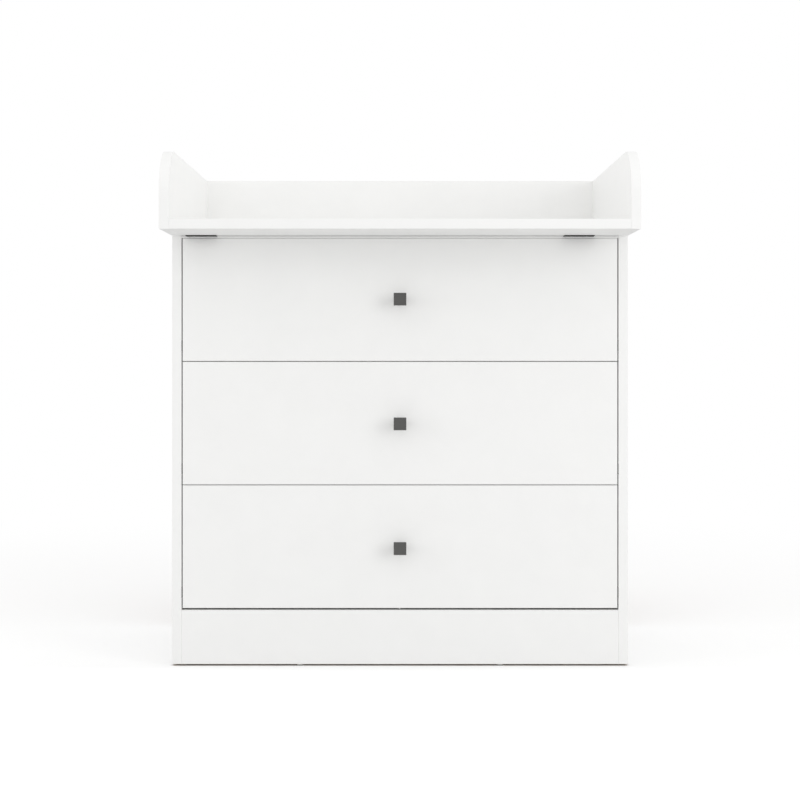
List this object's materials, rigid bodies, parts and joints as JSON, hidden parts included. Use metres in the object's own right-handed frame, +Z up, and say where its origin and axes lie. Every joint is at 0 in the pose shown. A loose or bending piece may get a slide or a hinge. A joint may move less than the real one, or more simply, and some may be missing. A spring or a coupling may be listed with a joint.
{
  "type": "changing dresser",
  "caption": "White changing dresser: inset drawers on roller runners, square dark knobs, flush plinth, and a changing tray with rounded sides that overhangs the front.",
  "frame": {"origin": "on the floor, under the middle of the outer box of the dresser with its tray", "axes": "+Z up, +X to the right as seen from the front, and the front looks along -Y"},
  "size_m": [0.912, 0.7, 1.0155],
  "materials": {
    "white_board": "satin white foil on chipboard",
    "box_board": "matt white foil on chipboard",
    "hardboard": "white lacquer inside, raw brown fibre outside",
    "dark_knob": "matt anthracite powder coat",
    "black_steel": "matt black paint",
    "runner_steel": "black epoxy coat",
    "zinc": "zinc-plated",
    "nylon": "natural nylon",
    "strip_plastic": "white extruded plastic",
    "glide_plastic": "grey moulded plastic",
    "beech": "raw beech"
  },
  "bodies": {
    "cabinet": {"side_panel_left": "white_board", "side_panel_right": "white_board", "top_panel": "white_board", "divider_rail_upper": "white_board", "divider_rail_lower": "white_board", "plinth": "white_board", "rear_rail": "white_board", "back_panel_left": "hardboard", "back_panel_right": "hardboard", "back_joining_strip": "strip_plastic", "back_panel_nails": "zinc", "floor_glides": "glide_plastic", "wooden_dowels": "beech", "cam_fittings": "zinc", "cabinet_runners_left": "runner_steel", "cabinet_runners_right": "runner_steel", "cabinet_runner_screws": "zinc", "tray_base": "white_board", "tray_side_left": "white_board", "tray_side_right": "white_board", "tray_back": "white_board", "tray_plate_left": "black_steel", "tray_plate_right": "black_steel", "tray_plate_screws": "zinc"},
    "drawer_1": {"drawer_1_front": "white_board", "drawer_1_side_left": "box_board", "drawer_1_side_right": "box_board", "drawer_1_back": "box_board", "drawer_1_bottom": "hardboard", "drawer_1_knob": "dark_knob", "drawer_1_knob_screw": "zinc", "drawer_1_runners": "runner_steel", "drawer_1_cam_fittings": "zinc", "drawer_1_screws": "zinc"},
    "front_rollers_1": {"cabinet_rollers_1": "nylon"},
    "rear_rollers_1": {"drawer_1_rollers": "nylon"},
    "drawer_2": {"drawer_2_front": "white_board", "drawer_2_side_left": "box_board", "drawer_2_side_right": "box_board", "drawer_2_back": "box_board", "drawer_2_bottom": "hardboard", "drawer_2_knob": "dark_knob", "drawer_2_knob_screw": "zinc", "drawer_2_runners": "runner_steel", "drawer_2_cam_fittings": "zinc", "drawer_2_screws": "zinc"},
    "front_rollers_2": {"cabinet_rollers_2": "nylon"},
    "rear_rollers_2": {"drawer_2_rollers": "nylon"},
    "drawer_3": {"drawer_3_front": "white_board", "drawer_3_side_left": "box_board", "drawer_3_side_right": "box_board", "drawer_3_back": "box_board", "drawer_3_bottom": "hardboard", "drawer_3_knob": "dark_knob", "drawer_3_knob_screw": "zinc", "drawer_3_runners": "runner_steel", "drawer_3_cam_fittings": "zinc", "drawer_3_screws": "zinc"},
    "front_rollers_3": {"cabinet_rollers_3": "nylon"},
    "rear_rollers_3": {"drawer_3_rollers": "nylon"}
  },
  "joints": [
    {"name": "drawer_1_slide", "type": "slide", "parent": "cabinet", "child": "drawer_1", "axis": [0, -1, 0], "range_m": [0, 0.34]},
    {"name": "front_rollers_1_spin", "type": "hinge", "parent": "cabinet", "child": "front_rollers_1", "pos_m": [0, -0.116, 0.64013], "axis": [1, 0, 0], "range_deg": [0, 2300]},
    {"name": "rear_rollers_1_spin", "type": "hinge", "parent": "drawer_1", "child": "rear_rollers_1", "pos_m": [0, 0.3, 0.64013], "axis": [1, 0, 0], "range_deg": [0, 2300]},
    {"name": "drawer_2_slide", "type": "slide", "parent": "cabinet", "child": "drawer_2", "axis": [0, -1, 0], "range_m": [0, 0.34]},
    {"name": "front_rollers_2_spin", "type": "hinge", "parent": "cabinet", "child": "front_rollers_2", "pos_m": [0, -0.116, 0.39307], "axis": [1, 0, 0], "range_deg": [0, 2300]},
    {"name": "rear_rollers_2_spin", "type": "hinge", "parent": "drawer_2", "child": "rear_rollers_2", "pos_m": [0, 0.3, 0.39307], "axis": [1, 0, 0], "range_deg": [0, 2300]},
    {"name": "drawer_3_slide", "type": "slide", "parent": "cabinet", "child": "drawer_3", "axis": [0, -1, 0], "range_m": [0, 0.34]},
    {"name": "front_rollers_3_spin", "type": "hinge", "parent": "cabinet", "child": "front_rollers_3", "pos_m": [0, -0.116, 0.146], "axis": [1, 0, 0], "range_deg": [0, 2300]},
    {"name": "rear_rollers_3_spin", "type": "hinge", "parent": "drawer_3", "child": "rear_rollers_3", "pos_m": [0, 0.3, 0.146], "axis": [1, 0, 0], "range_deg": [0, 2300]}
  ],
  "couplings": [
    {"joint": "front_rollers_1_spin", "follows": "drawer_1_slide", "rad_per_m": 117.65},
    {"joint": "rear_rollers_1_spin", "follows": "drawer_1_slide", "rad_per_m": 117.65},
    {"joint": "front_rollers_2_spin", "follows": "drawer_2_slide", "rad_per_m": 117.65},
    {"joint": "rear_rollers_2_spin", "follows": "drawer_2_slide", "rad_per_m": 117.65},
    {"joint": "front_rollers_3_spin", "follows": "drawer_3_slide", "rad_per_m": 117.65},
    {"joint": "rear_rollers_3_spin", "follows": "drawer_3_slide", "rad_per_m": 117.65}
  ]
}
